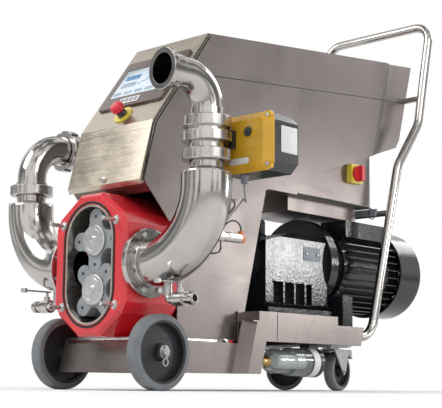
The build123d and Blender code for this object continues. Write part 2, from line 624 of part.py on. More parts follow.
def caster_plates():
    plates = []
    for side in ("right", "left"):
        sign = 1 if side == "right" else -1
        plate = block((-42, 42), (-52, 52), (BEAM_Z - 5, BEAM_Z))
        plate += rod("Z", CROWN_TOP + 0.5, BEAM_Z - 4, 0, 0, 26)
        plate -= rod("Z", 120, BEAM_Z + 1, 0, 0, KING_PIN_R + RUN_GAP)
        plates.append(Pos(sign * CASTER_X, CASTER_Y, 0) * plate)
    return group(plates)


def caster_fork(side):
    """Swivel fork with its king pin, wheel axle and pedal pin, trailing towards the handle."""
    pin_y, pin_z = PEDAL_PIN
    crown = block((-26, 26), (-24, 62), (CROWN_LOW, CROWN_TOP)) + rod("Z", CROWN_LOW, 138, 0, 0, KING_PIN_R)
    leg = side_prism([(-20, CROWN_TOP), (pin_y + 4, CROWN_TOP), (pin_y + 8, pin_z), (pin_y, pin_z - 8),
                      (70, 112), (CASTER_TRAIL + 14, CASTER_R), (CASTER_TRAIL, CASTER_R - 14),
                      (CASTER_TRAIL - 14, CASTER_R)], 22, 26)
    fork = crown + leg + mirrored(leg)
    fork += rod("X", -30, 30, CASTER_TRAIL, CASTER_R, 5)
    return caster_frame(side) * (fork + rod("X", -28, 28, pin_y, pin_z, PEDAL_PIN_R))


def caster_wheel(side):
    bore = 5 + RUN_GAP
    hub = turned([(bore, -20), (16, -20), (18, -5), (46, -8), (46, -14), (50, -14), (50, 14), (46, 14),
                  (46, 0), (18, 5), (16, 20), (bore, 20)], 0, CASTER_TRAIL, CASTER_R, "X")
    tyre = turned([(50, -17), (58, -17), (CASTER_R - 1, -12), (CASTER_R, 0), (CASTER_R - 1, 12), (58, 17),
                   (50, 17)], 0, CASTER_TRAIL, CASTER_R, "X")
    return caster_frame(side) * group([hub, tyre])


def caster_pedal(side):
    """Brake pedal on its pin behind the wheel: barrel, shoe under it and a bent tread plate."""
    y, z = PEDAL_PIN
    pedal = rod("X", -20, 20, y, z, 7)
    pedal += side_prism([(y, z + 7), (y + 10, z + 5), (y + 28, z - 12), (y + 27, z - 17), (y + 22, z - 17),
                         (y + 7, z - 3)], -17, 17)
    pedal += side_prism([(y + 1, z - 3), (y + 6, z - 3), (y + 6, z - 10.5), (y + 1, z - 10.5)], -12, 12)
    return caster_frame(side) * (pedal - rod("X", -30, 30, y, z, PEDAL_PIN_R + RUN_GAP))


def handle_point(z):
    """Point on the right-hand upright of the handle at a height."""
    low = [point for point in HANDLE_PATH if point[2] <= z][-1]
    high = [point for point in HANDLE_PATH if point[2] > z][0]
    share = (z - low[2]) / (high[2] - low[2])
    return [a + (b - a) * share for a, b in zip(low, high)]


def handle_frame():
    """Bent tube, the cross bar under the cabinet and the two short stays to its sides."""
    left = [(-x, y, z) for x, y, z in reversed(HANDLE_PATH)]
    path = FilletPolyline(*(HANDLE_PATH + left), radius=HANDLE_BENDS + HANDLE_BENDS[::-1])
    x, y, _ = handle_point(CROSS_BAR_Z)
    frame = pipe_along(path, HANDLE_R) + rod("X", -x, x, y, CROSS_BAR_Z, 10)
    x, y, _ = handle_point(STAY_Z)
    stay = rod("X", CAB_X - SIDE_STEP, x, y, STAY_Z, 10)
    return frame + stay + mirrored(stay)


# ---------------------------------------------------------------- cabinet and pedestal
def front_line():
    return [APEX, BEND, CHIN, CHIN_LOW]


def front_panel():
    outer = front_line()
    inner = inset(outer, -PANEL_T)
    panel = side_prism(outer + inner[::-1], -CAB_X + 1.5, CAB_X - 1.5)
    return panel - estop_frame() * Cylinder(11, 60)


def panel_place(x, along):
    """Frame on the upper panel: along is the distance up the slope from its bend."""
    rise = atan2(APEX[1] - BEND[1], APEX[0] - BEND[0])
    y, z = BEND[0] + along * cos(rise), BEND[1] + along * sin(rise)
    return Plane(origin=(x, y, z), x_dir=(1, 0, 0), z_dir=(0, -sin(rise), cos(rise)))


def seam_height(y):
    slope = 0.1045
    return TAIL_SEAM[1] + (y - TAIL_SEAM[0]) * slope


def keel_height(y):
    return KEEL[1] + (y - KEEL[0]) * KEEL_SLOPE


def rear_narrowing():
    """Pair of cutters that step the cabinet's sides in near its back."""
    y = 960.0
    cut = leaning_prism([(CAB_X, y), (CAB_X - SIDE_STEP, y + 35), (CAB_X - SIDE_STEP, y + 500),
                         (CAB_X + 20, y + 500), (CAB_X + 20, y)], 500, 1300)
    return cut + mirrored(cut)


def shell(points, half_width, wall):
    """Closed sheet-metal box with the given side outline."""
    outer = side_prism(points, -half_width, half_width)
    face = offset(Polygon(*points, align=None), -wall, kind=Kind.INTERSECTION)
    inner = extrude(Plane.YZ.offset(wall - half_width) * face, 2 * (half_width - wall), dir=(1, 0, 0))
    return outer, inner


def cabinet_chain():
    """Front line of the sheet body, behind the panel and its gasket."""
    return inset(front_line(), -(PANEL_T + GASKET_T))


def seam_start():
    top, low = cabinet_chain()[0], cabinet_chain()[1]
    share = 0.0
    for _ in range(40):
        y = top[0] + (low[0] - top[0]) * share
        z = top[1] + (low[1] - top[1]) * share
        share += (z - seam_height(y)) / (top[1] - low[1])
    return (y, z)


def cabinet_lower():
    chain = cabinet_chain()
    start = seam_start()
    points = [start, chain[1], chain[2], chain[3], KEEL, TAIL_LOW, TAIL_BEND, TAIL_SEAM]
    outer, inner = shell(points, CAB_X, SKIN)
    body = outer - inner - rear_narrowing()
    floor_cut = block((-CAB_X + SKIN, CAB_X - SKIN), (chain[3][0] + 12, 200), (KEEL[1] - 1, HEAD_TOP + 2))
    return body + rear_lining(points) - floor_cut - estop_frame() * Cylinder(15, 90)


def rear_lining(points):
    """Sheet that closes the stepped-in back of the cabinet's sides."""
    outer = side_prism(points, -CAB_X, CAB_X)
    wide = rear_narrowing()
    inner_x = CAB_X - SIDE_STEP - SKIN
    deep = leaning_prism([(CAB_X - SKIN, 960), (inner_x, 995), (inner_x, 1460), (CAB_X + 20, 1460),
                          (CAB_X + 20, 960)], 500, 1300)
    return outer & ((deep + mirrored(deep)) - wide)


def cabinet_lid():
    gap = 2.0
    chain = cabinet_chain()
    start, end = seam_start(), TAIL_SEAM
    points = [(start[0] + 1.5, start[1] + gap), (end[0] + 0.5, end[1] + gap), TAIL_TOP, APEX, chain[0]]
    outer, inner = shell(points[::-1], CAB_X, SKIN)
    return outer - inner - rear_narrowing() + rear_lining(points)


def estop_frame():
    return panel_place(*ESTOP_PLACE).location


def display():
    """Operating unit: rounded bezel, recessed screen and a raised strip of keys below it."""
    place = panel_place(0, 187)
    bezel = extrude(place * RectangleRounded(264, 210, 12), 7, dir=place.z_dir)
    rim = bezel.faces().filter_by(lambda face: face.normal_at().dot(place.z_dir) > 0.99).edges()
    bezel = chamfer(rim, 1.5)
    screen = extrude(place.offset(5.5) * Pos(3, 5) * Rectangle(232, 124), 5, dir=place.z_dir)
    keys = extrude(place.offset(6.9) * Pos(-10, -82) * RectangleRounded(84, 26, 3), 1.1, dir=place.z_dir)
    return bezel - screen + keys


def e_stop_ring():
    place = panel_place(*ESTOP_PLACE)
    return extrude(place * Circle(30), 4) - extrude(place.offset(-1) * Circle(9 + RUN_GAP), 8)


def e_stop_button():
    place = panel_place(*ESTOP_PLACE)
    stem = extrude(place.offset(-20) * Circle(9), 46)
    head = turned([(0, 24), (20, 24), (20, 36), (15, 42), (0, 44)])
    return stem + place.location * head


def switch_box():
    tip = KEEL[0] + (BOX_Z - KEEL[1]) / KEEL_SLOPE
    points = [(tip, BOX_Z), (BOX_BACK, BOX_Z), (BOX_BACK, keel_height(BOX_BACK))]
    outer, inner = shell(points, BOX_X, SKIN)
    tray = block((-TRAY_X, TRAY_X), (640, 996), (TRAY_Z, BOX_Z))
    tray -= block((-TRAY_X + SKIN, TRAY_X - SKIN), (640 + SKIN, 996 - SKIN), (TRAY_Z + SKIN, BOX_Z + 5))
    return (outer - inner) + tray


def isolator_plate():
    plate = block((BOX_X, BOX_X + 20), (SWITCH_Y - 30, SWITCH_Y + 30), (SWITCH_Z - 31, SWITCH_Z + 31))
    plate = chamfer(plate.edges().filter_by(Axis.X), 4)
    return plate - rod("X", BOX_X - 1, BOX_X + 30, SWITCH_Y, SWITCH_Z, 5 + RUN_GAP)


def isolator_knob():
    disc = rod("X", BOX_X + 20.5, BOX_X + 32, SWITCH_Y, SWITCH_Z, 26)
    grip = block((BOX_X + 32, BOX_X + 46), (SWITCH_Y - 8, SWITCH_Y + 8), (SWITCH_Z - 25, SWITCH_Z + 25))
    return disc + grip + rod("X", BOX_X + 1, BOX_X + 21, SWITCH_Y, SWITCH_Z, 5)


def pedestal_cover():
    lean = (494.0 - 379.0) / (keel_height(494) - BASE_TOP)
    points = [(122, BASE_TOP), (379, BASE_TOP), (494, keel_height(494)), (122, keel_height(122))]
    outer = side_prism(points, -BOX_X, BOX_X)
    hollow = side_prism([(100, BASE_TOP - 1), (376 - lean, BASE_TOP - 1), (490, keel_height(490) + 1),
                         (100, keel_height(100) + 1)], -BOX_X + SKIN, BOX_X - SKIN)
    return outer - hollow - rod("Y", 360, 520, 0, UPPER_Z, 60)


# ---------------------------------------------------------------- gear motor
def gearbox_housing():
    """Cast housing of the helical gear unit, with ribbed side pockets, feet and a tall breather."""
    side = [(GEARBOX_FRONT, 245), (GEARBOX_BACK, 245), (GEARBOX_BACK, 486), (650, 486), (GEARBOX_FRONT, 450)]
    body = side_prism(side, -130, 130)
    body = chamfer(body.edges().filter_by(Axis.Y), 20)
    body += turned([(0, 446), (22, 446), (22, 462), (13, 470), (13, 506), (9, 514), (0, 514)],
                   BREATHER[0], BREATHER[1])
    for y in (700, 755):
        body += rod("X", 129, 134, y, 424, 5)
    for sign in (-1, 1):
        body -= block(sorted((110 * sign, 140 * sign)), (535, 728), (262, 328))
        for y in (588, 640, 692):
            body += block(sorted((100 * sign, 130 * sign)), (y, y + 8), (262, 328))
    body += block((-150, 150), (495, 800), (STEP_Z, 247))
    body += rod("Y", 472, GEARBOX_FRONT, 0, UPPER_Z, 105)
    body += rod("Y", GEARBOX_BACK, 822, 0, UPPER_Z, FLANGE_R)
    body -= rod("Y", 470, GEARBOX_FRONT + 32, 0, UPPER_Z, OUTPUT_R + RUN_GAP)
    return body - rod("Y", GEARBOX_BACK - 40, 823, 0, UPPER_Z, 70)


def motor_housing():
    body = rod("Y", 822, 842, 0, UPPER_Z, FLANGE_R) + rod("Y", 842, 905, 0, UPPER_Z, 112)
    body += rod("Y", 905, 1200, 0, UPPER_Z, 126)
    for index in range(36):
        fin = block((124, MOTOR_R), (912, 1185), (-1.6, 1.6))
        body += Pos(0, 0, UPPER_Z) * Rot(0, 10 * index, 0) * fin
    foot = block((105, 165), (842, 893), (REAR_Z, 300))
    body += foot + mirrored(foot)
    body -= rod("Y", 905, 1150, 0, UPPER_Z, 100)
    body -= rod("Y", 800, 1300, 0, UPPER_Z, MOTOR_SHAFT_R + RUN_GAP)
    return body - terminal_space()


def terminal_space():
    return block((22, 124), (915, 1150), (UPPER_Z + 96, UPPER_Z + 160))


def terminal_box():
    return block((22, 124), (915, 1150), (UPPER_Z + 96, UPPER_Z + 150)) - rod("Y", 800, 1300, 0, UPPER_Z, 126)


def motor_rotor():
    shaft = rod("Y", 790, 1290, 0, UPPER_Z, MOTOR_SHAFT_R)
    core = rod("Y", 930, 1130, 0, UPPER_Z, 92)
    fan = rod("Y", 1225, 1232, 0, UPPER_Z, 120) + rod("Y", 1225, 1262, 0, UPPER_Z, 34)
    for index in range(8):
        blade = block((30, 122), (1230, 1262), (-2, 2))
        fan += Pos(0, 0, UPPER_Z) * Rot(0, 45 * index, 0) * blade
    return shaft + core + fan


def fan_cowl():
    """Sheet cowl with a rolled rim, a domed back and rings of air holes."""
    profile = [(COWL_R - 3, 0), (COWL_R + 1, 0), (COWL_R + 2, 2), (COWL_R + 2, 5), (COWL_R, 7), (COWL_R, 120),
               (140, 142), (112, 152), (0, 154), (0, 151), (110, 149), (137.5, 139.5), (COWL_R - 3, 118)]
    cowl = turned(profile, 0, 1190, UPPER_Z, "Y")
    for ring in (40, 60, 80, 100):
        count = 2 * int(ring / 8)
        for index in range(count):
            x, z = polar(ring, 2 * pi * index / count)
            cowl -= rod("Y", 1320, 1350, x, UPPER_Z + z, 4)
    return cowl


# ---------------------------------------------------------------- filter bowl
def filter_head():
    """Head of the air filter, hung under the platform by its bracket."""
    head = turned([(0, 650), (43, 650), (43, 683), (45, 685), (45, 701), (41, 705), (0, 705)],
                  FILTER_X, 0, FILTER_Z, "Y")
    head += rod("Y", 705, 709, FILTER_X, FILTER_Z, 20)
    return head + block((FILTER_X - 18, FILTER_X + 18), (655, 700), (120, BEAM_Z))


def filter_bowl():
    """Clear bowl lying along the frame, with its drain cap at the front end."""
    profile = [(0, 477), (20, 478), (31, 488), (35, 506), (35, 566), (42, 572), (42, 650), (38, 650), (38, 575),
               (31, 569), (31, 508), (28, 492), (18, 482), (0, 481)]
    bowl = turned(profile, FILTER_X, 0, FILTER_Z, "Y")
    cap = turned([(0, 452), (10, 452), (13, 455), (13, 470), (17, 473), (17, 477), (0, 477)],
                 FILTER_X, 0, FILTER_Z, "Y")
    return group([bowl, cap])


# ---------------------------------------------------------------- cables
ACTUATOR_CABLE = [(GLAND_X, GLAND_Y, ACT_Z[0] - 22), (GLAND_X, GLAND_Y, 517), (379, 132, 502), (352, 165, 502),
                  (306, 216, 512), (256, 268, 526), (210, 316, 541), (178, 347, 549), (156, 370, 552),
                  (147, 366, 537), (146, 349, 521), (146, 327, 500), (145, 300, 474), (128, 276, 452)]
SENSOR_CABLE = [(330.4, 167.9, 424), (330.4, 167.9, 440), (326, 152, 452), (319, 136, 450), (312, 123, 438),
                (306, 116, 420), (300, 118, 401), (282, 142, 386), (242, 182, 377), (190, 214, 377),
                (130, 238, 386)]


def route_radii(points, share=0.45):
    """Bend radius at each inner point: as large as the two runs beside it allow."""
    radii = []
    for before, here, after in zip(points, points[1:], points[2:]):
        into, out = Vector(*here) - Vector(*before), Vector(*after) - Vector(*here)
        half_turn = radians(into.get_angle(out)) / 2
        radii.append(share * min(into.length, out.length) / tan(half_turn))
    return radii


def cable(points, diameter):
    """Round cable whose last point lies inside the pedestal, so it ends flush with the side sheet."""
    path = FilletPolyline(*points, radius=route_radii(points))
    return pipe_along(path, diameter / 2) - block((-BOX_X, BOX_X), (0, 500), (300, 600))


def report_cable(name, points, diameter):
    """Print the cable's length, its tightest bend and its volume against section times length."""
    path = FilletPolyline(*points, radius=route_radii(points))
    section = pi * (diameter / 2) ** 2
    share = pipe_along(path, diameter / 2).volume / (section * path.length)
    print(f"{name} length {path.length:.0f} tightest bend {min(route_radii(points)):.0f} volume {share:.4f}")


def all_nodes():
    right_elbow = drain_stub(big_elbow(RIGHT_RISER_TOP))
    left_elbow = mirrored(drain_stub(big_elbow(LEFT_RISER_TOP - 12)))
    right_drain, right_lever = drain_body(), drain_lever()
    nodes = {
        "trolley_frame": trolley_frame(),
        "front_axle": front_axle(),
        "right_wheel": front_wheel(),
        "left_wheel": group([mirrored(front_wheel())]),
        "caster_plates": caster_plates(),
        "handle_frame": handle_frame(),
        "pump_casing": pump_casing(),
        "chamber_liner": chamber_liner(),
        "casing_seal": casing_seal(),
        "cover_studs": cover_studs(),
        "shaft_bearings": shaft_bearings(),
        "gear_case": gear_case(),
        "upper_shaft": group([rotor_shaft(UPPER_Z, 245), timing_gear(UPPER_Z, -pi / 2)]),
        "lower_shaft": group([rotor_shaft(LOWER_Z, 184), timing_gear(LOWER_Z, pi / 2 + pi / GEAR_TEETH)]),
        "upper_rotor": rotor(UPPER_Z, 0),
        "lower_rotor": rotor(LOWER_Z, pi / 4),
        "upper_rotor_cap": rotor_cap(UPPER_Z),
        "lower_rotor_cap": rotor_cap(LOWER_Z),
        "shaft_coupling": shaft_coupling(),
        "right_elbow": right_elbow,
        "left_elbow": left_elbow,
        "port_bolts": port_bolts(),
        "union_nuts": union_nuts(),
        "valve_body": valve_body(),
        "valve_disc": valve_disc(),
        "right_upper_elbow": right_upper_elbow(),
        "left_upper_elbow": left_upper_elbow(),
        "drain_bodies": group(both_sides(right_drain)),
        "right_drain_lever": right_lever,
        "left_drain_lever": mirrored(right_lever),
        "line_sensor": line_sensor(),
        "actuator_base": actuator_base(),
        "actuator_cover": actuator_cover(),
        "actuator_bracket": actuator_bracket(),
        "actuator_gland": actuator_gland(),
        "front_panel": front_panel(),
        "cabinet_lower": cabinet_lower(),
        "cabinet_lid": cabinet_lid(),
        "display": display(),
        "e_stop_ring": e_stop_ring(),
        "e_stop_button": e_stop_button(),
        "switch_box": switch_box(),
        "isolator_plate": isolator_plate(),
        "isolator_knob": isolator_knob(),
        "pedestal_cover": pedestal_cover(),
        "gearbox_housing": gearbox_housing(),
        "motor_housing": motor_housing(),
        "terminal_box": terminal_box(),
        "motor_rotor": motor_rotor(),
        "fan_cowl": fan_cowl(),
        "filter_head": filter_head(),
        "filter_bowl": filter_bowl(),
        "actuator_cable": cable(ACTUATOR_CABLE, 5),
        "sensor_cable": cable(SENSOR_CABLE, 4.5),
    }
    for side in ("right", "left"):
        nodes[side + "_caster_fork"] = caster_fork(side)
        nodes[side + "_caster_wheel"] = caster_wheel(side)
        nodes[side + "_caster_pedal"] = caster_pedal(side)
    return nodes


def move_to_origin(nodes):
    """Shift every node so the origin is on the floor under the part's middle."""
    box = Compound(children=[Compound(shape.solids()) for shape in nodes.values()]).bounding_box()
    move = (-(box.min.X + box.max.X) / 2, -(box.min.Y + box.max.Y) / 2, -box.min.Z)
    return {name: Pos(*move) * shape for name, shape in nodes.items()}, move


def main():
    os.makedirs("parts", exist_ok=True)
    nodes, move = move_to_origin(all_nodes())
    for name, shape in nodes.items():
        export_step(shape, f"parts/{name}.step")
    print("nodes", len(nodes), "moved by", [round(value, 3) for value in move])
    report_cable("actuator_cable", ACTUATOR_CABLE, 5)
    report_cable("sensor_cable", SENSOR_CABLE, 4.5)


if __name__ == "__main__":
    main()
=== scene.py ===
"""Looks of the mobile rotary lobe pump: materials, trim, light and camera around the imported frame.

Lengths are written in millimetres of the machine frame that the CAD uses (X across, Y from the
pump head to the handle, Z up, front axle on Y = 0) and at() turns them into scene metres. Lights,
the floor and the depths in materials are in scene metres.
"""
from math import cos, pi, radians, sin

import bmesh
import bpy
from mathutils import Matrix, Vector


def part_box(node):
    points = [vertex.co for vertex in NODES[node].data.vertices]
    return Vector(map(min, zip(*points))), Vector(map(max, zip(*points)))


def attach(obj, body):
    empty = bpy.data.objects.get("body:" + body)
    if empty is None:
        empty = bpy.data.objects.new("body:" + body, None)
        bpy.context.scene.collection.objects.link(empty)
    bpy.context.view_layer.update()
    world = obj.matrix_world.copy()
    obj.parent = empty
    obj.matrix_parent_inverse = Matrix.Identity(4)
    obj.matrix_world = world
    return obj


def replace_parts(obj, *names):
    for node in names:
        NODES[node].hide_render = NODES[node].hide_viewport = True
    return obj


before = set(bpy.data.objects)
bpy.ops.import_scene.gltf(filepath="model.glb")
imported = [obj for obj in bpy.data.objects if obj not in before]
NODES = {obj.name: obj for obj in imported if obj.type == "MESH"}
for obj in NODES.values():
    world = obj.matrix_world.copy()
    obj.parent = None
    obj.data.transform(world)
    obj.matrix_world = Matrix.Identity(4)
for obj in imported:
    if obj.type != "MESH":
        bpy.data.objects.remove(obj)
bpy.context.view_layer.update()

MM = 0.001
axle_low, axle_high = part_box("front_axle")
wheel_low, wheel_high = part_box("right_wheel")
ORIGIN = Vector(((axle_low[0] + axle_high[0]) / 2, (wheel_low[1] + wheel_high[1]) / 2, 0.0))


def at(x, y, z):
    """Machine millimetres to scene metres."""
    return ORIGIN + Vector((x, y, z)) * MM


# ---------------------------------------------------------------- places that several pieces share
FRONT, BACK, RIGHT, UP = (0, -1, 0), (0, 1, 0), (1, 0, 0), (0, 0, 1)
RISER_X = 361               # the two upright pipes stand this far to each side
PORT_Z = 336                # axis of the two port flanges
ROTOR_Z = {"upper": 403.5, "lower": 268.5}
FILTER_X, FILTER_Z = 158, 86
CROSS_Y = 1060.8            # cross bar of the handle
BASE_Z = 138                # middle of the red base's steel edge
PANEL_BEND_Y, PANEL_BEND_Z = 8, 732
PANEL_RUN, PANEL_RISE = 0.58998, 0.80742    # unit step up the sloping panel, back and up

# ---------------------------------------------------------------- camera
CAMERA_PLACE = (2385.7, -2133.4, 23.0)
CAMERA_YAW, CAMERA_PITCH, CAMERA_ROLL = radians(42.77), radians(8.752), radians(0.522)
LENS, SENSOR = 94.46, 36.0


def make_camera():
    forward = Vector((-sin(CAMERA_YAW) * cos(CAMERA_PITCH), cos(CAMERA_YAW) * cos(CAMERA_PITCH),
                      sin(CAMERA_PITCH)))
    level = Vector((cos(CAMERA_YAW), sin(CAMERA_YAW), 0))
    upward = level.cross(forward)
    right = level * cos(CAMERA_ROLL) + upward * sin(CAMERA_ROLL)
    upward = right.cross(forward)
    camera = bpy.data.objects.new("camera", bpy.data.cameras.new("camera"))
    bpy.context.collection.objects.link(camera)
    turn = Matrix((right, upward, -forward)).transposed().to_4x4()
    camera.matrix_world = Matrix.Translation(at(*CAMERA_PLACE)) @ turn
    camera.data.sensor_width = SENSOR
    camera.data.lens = LENS
    camera.data.clip_end = 100
    bpy.context.scene.camera = camera


# ---------------------------------------------------------------- materials
EDGE_SOFT = 0.0012          # radius of the shaded rounding on sharp edges, in metres


def new_material(name):
    material = bpy.data.materials.new(name)
    material.use_nodes = True
    return material, material.node_tree, material.node_tree.nodes["Principled BSDF"]


def add(tree, kind, inputs=None, **settings):
    node = tree.nodes.new(kind)
    for key, value in settings.items():
        setattr(node, key, value)
    for key, value in (inputs or {}).items():
        if hasattr(value, "node"):
            tree.links.new(value, node.inputs[key])
        else:
            node.inputs[key].default_value = value
    return node


def shade(colour, factor):
    return tuple(min(1.0, max(0.0, channel * factor)) for channel in colour[:3]) + (1.0,)


def noise(tree, scale, stretch=(1, 1, 1), detail=4.0, rough=0.55):
    """Noise value in object space, stretched per axis."""
    place = add(tree, "ShaderNodeTexCoord")
    mapping = add(tree, "ShaderNodeMapping", {"Vector": place.outputs["Object"], "Scale": stretch})
    return add(tree, "ShaderNodeTexNoise", {"Vector": mapping.outputs["Vector"], "Scale": scale,
                                            "Detail": detail, "Roughness": rough}).outputs["Fac"]


def ramp(tree, value, low, high, from_low=0.35, from_high=0.65):
    return add(tree, "ShaderNodeMapRange", {"Value": value, "From Min": from_low, "From Max": from_high,
                                            "To Min": low, "To Max": high}).outputs["Result"]


def surface(name, colour, metallic=0.0, rough=0.4, spread=0.08, tone=0.08, grain=None, grain_depth=0.0,
            blotch=6.0, coat=0.0, coat_rough=0.1, fine=900.0, fine_depth=0.0, specular=0.5):
    """Procedural finish: soft tone and roughness variation, directional grain, fine texture."""
    material, tree, shader = new_material(name)
    cloudy = noise(tree, blotch, detail=5.0)
    mix = add(tree, "ShaderNodeMix", {0: ramp(tree, cloudy, 0.0, 1.0)}, data_type="RGBA")
    mix.inputs[6].default_value = shade(colour, 1 - tone)
    mix.inputs[7].default_value = shade(colour, 1 + tone)
    tint = mix.outputs[2]
    rough_value = ramp(tree, noise(tree, blotch * 2.3, detail=6.0), max(0.02, rough - spread), rough + spread)
    bumps = []
    if grain:
        lines = noise(tree, 1.0, stretch=grain, detail=3.0, rough=0.7)
        mix_lines = add(tree, "ShaderNodeMix", {0: ramp(tree, lines, 0.0, 1.0, 0.3, 0.7)}, data_type="RGBA",
                        blend_type="MULTIPLY")
        mix_lines.inputs[6].default_value = (1, 1, 1, 1)
        tree.links.new(tint, mix_lines.inputs[6])
        mix_lines.inputs[7].default_value = (1 - tone * 1.4,) * 3 + (1.0,)
        tint = mix_lines.outputs[2]
        rough_value = add(tree, "ShaderNodeMath", {0: rough_value, 1: ramp(tree, lines, -spread, spread)},
                          operation="ADD").outputs[0]
        bumps.append((lines, grain_depth))
    if fine_depth:
        bumps.append((noise(tree, fine, detail=2.0), fine_depth))
    tree.links.new(tint, shader.inputs["Base Color"])
    tree.links.new(rough_value, shader.inputs["Roughness"])
    shader.inputs["Metallic"].default_value = metallic
    shader.inputs["Specular IOR Level"].default_value = specular
    shader.inputs["Coat Weight"].default_value = coat
    shader.inputs["Coat Roughness"].default_value = coat_rough
    normal = add(tree, "ShaderNodeBevel", {"Radius": EDGE_SOFT}, samples=4).outputs["Normal"]
    for value, depth in bumps:
        normal = add(tree, "ShaderNodeBump", {"Height": value, "Normal": normal, "Strength": 1.0,
                                              "Distance": depth}).outputs["Normal"]
    tree.links.new(normal, shader.inputs["Normal"])
    return material


def glass_material(name, colour):
    material, tree, shader = new_material(name)
    shader.inputs["Base Color"].default_value = tuple(colour) + (1.0,)
    shader.inputs["Transmission Weight"].default_value = 0.92
    shader.inputs["IOR"].default_value = 1.45
    tree.links.new(ramp(tree, noise(tree, 14.0), 0.03, 0.16), shader.inputs["Roughness"])
    return material


MATERIALS = {
    "sheet": surface("satin_stainless_sheet", (0.245, 0.215, 0.205), 1.0, 0.36, 0.05, 0.05,
                     grain=(8, 8, 1400), grain_depth=0.00001, blotch=3.0),
    "frame_sheet": surface("satin_stainless_frame", (0.30, 0.265, 0.25), 1.0, 0.33, 0.05, 0.06,
                           grain=(8, 8, 1400), grain_depth=0.00001, blotch=4.0),
    "panel": surface("satin_front_panel", (0.52, 0.46, 0.38), 1.0, 0.24, 0.05, 0.04,
                     grain=(5, 800, 800), grain_depth=0.000004, blotch=3.0),
    "polished": surface("polished_tube", (0.50, 0.48, 0.46), 1.0, 0.15, 0.05, 0.07,
                        grain=(600, 600, 8), grain_depth=0.000005, blotch=9.0),
    "ground": surface("ground_fittings", (0.55, 0.53, 0.51), 1.0, 0.22, 0.06, 0.08,
                      grain=(40, 40, 1200), grain_depth=0.000006, blotch=14.0),
    "turned": surface("turned_steel", (0.66, 0.66, 0.65), 1.0, 0.24, 0.06, 0.06,
                      grain=(500, 20, 500), grain_depth=0.000006, blotch=14.0),
    "zinc": surface("zinc_steel", (0.42, 0.42, 0.42), 1.0, 0.34, 0.10, 0.15, blotch=40.0, fine_depth=0.00005),
    "red": surface("red_enamel", (0.66, 0.018, 0.028), 0.0, 0.30, 0.06, 0.08, blotch=8.0, coat=0.6,
                   coat_rough=0.12, fine=160.0, fine_depth=0.00012),
    "black": surface("black_enamel", (0.010, 0.011, 0.014), 0.0, 0.13, 0.04, 0.30, blotch=10.0,
                     fine=130.0, fine_depth=0.0005, specular=0.45),
    "rotor": surface("rotor_rubber", (0.27, 0.285, 0.30), 0.0, 0.42, 0.08, 0.08, blotch=30.0,
                     fine_depth=0.00008),
    "seal": surface("black_rubber", (0.012, 0.012, 0.012), 0.0, 0.45, 0.08, 0.2, blotch=30.0,
                    fine_depth=0.00006),
    "chamber": surface("chamber_steel", (0.56, 0.53, 0.47), 1.0, 0.26, 0.06, 0.06, blotch=8.0,
                       grain=(600, 12, 600), grain_depth=0.000006),
    "yellow": surface("actuator_yellow", (0.60, 0.33, 0.012), 0.0, 0.34, 0.08, 0.10, blotch=18.0, coat=0.35,
                      fine=240.0, fine_depth=0.00018),
    "black_plastic": surface("black_plastic", (0.012, 0.013, 0.016), 0.0, 0.30, 0.08, 0.2, blotch=22.0,
                             coat=0.3, fine=500.0, fine_depth=0.0001),
    "grey_plastic": surface("grey_plastic", (0.25, 0.27, 0.30), 0.0, 0.42, 0.08, 0.1, fine_depth=0.00005),
    "red_plastic": surface("red_plastic", (0.62, 0.015, 0.03), 0.0, 0.25, 0.05, 0.06, coat=0.4),
    "yellow_plastic": surface("yellow_plastic", (0.72, 0.58, 0.05), 0.0, 0.32, 0.05, 0.06, coat=0.3),
    "bezel": surface("display_bezel", (0.085, 0.050, 0.040), 0.0, 0.22, 0.05, 0.10, coat=0.5,
                     coat_rough=0.05),
    "tyre": surface("grey_tyre", (0.165, 0.175, 0.185), 0.0, 0.62, 0.08, 0.14, blotch=16.0, fine=700.0,
                    fine_depth=0.00012),
    "disc": surface("black_wheel_disc", (0.020, 0.022, 0.026), 0.0, 0.48, 0.08, 0.25, blotch=16.0, fine=300.0,
                    fine_depth=0.00015),
    "brass": surface("brass", (0.62, 0.42, 0.17), 1.0, 0.28, 0.06, 0.1, blotch=30.0),
    "orange_plastic": surface("orange_plastic", (0.55, 0.17, 0.05), 0.0, 0.38, 0.06, 0.1, blotch=30.0),
    "white_plastic": surface("white_plastic", (0.72, 0.72, 0.70), 0.0, 0.38, 0.05, 0.04),
    "label": surface("blank_label", (0.66, 0.68, 0.67), 0.0, 0.42, 0.05, 0.05, blotch=60.0),
    "glass": glass_material("clear_bowl", (0.86, 0.90, 0.90)),
    "screen": surface("pale_screen", (0.60, 0.70, 0.80), 0.0, 0.16, 0.04, 0.05, blotch=20.0, coat=0.6),
    "key_blue": surface("screen_blue", (0.10, 0.28, 0.52), 0.0, 0.25, 0.04, 0.06, blotch=40.0),
    "key_grey": surface("screen_grey", (0.42, 0.50, 0.58), 0.0, 0.25, 0.04, 0.06, blotch=40.0),
}

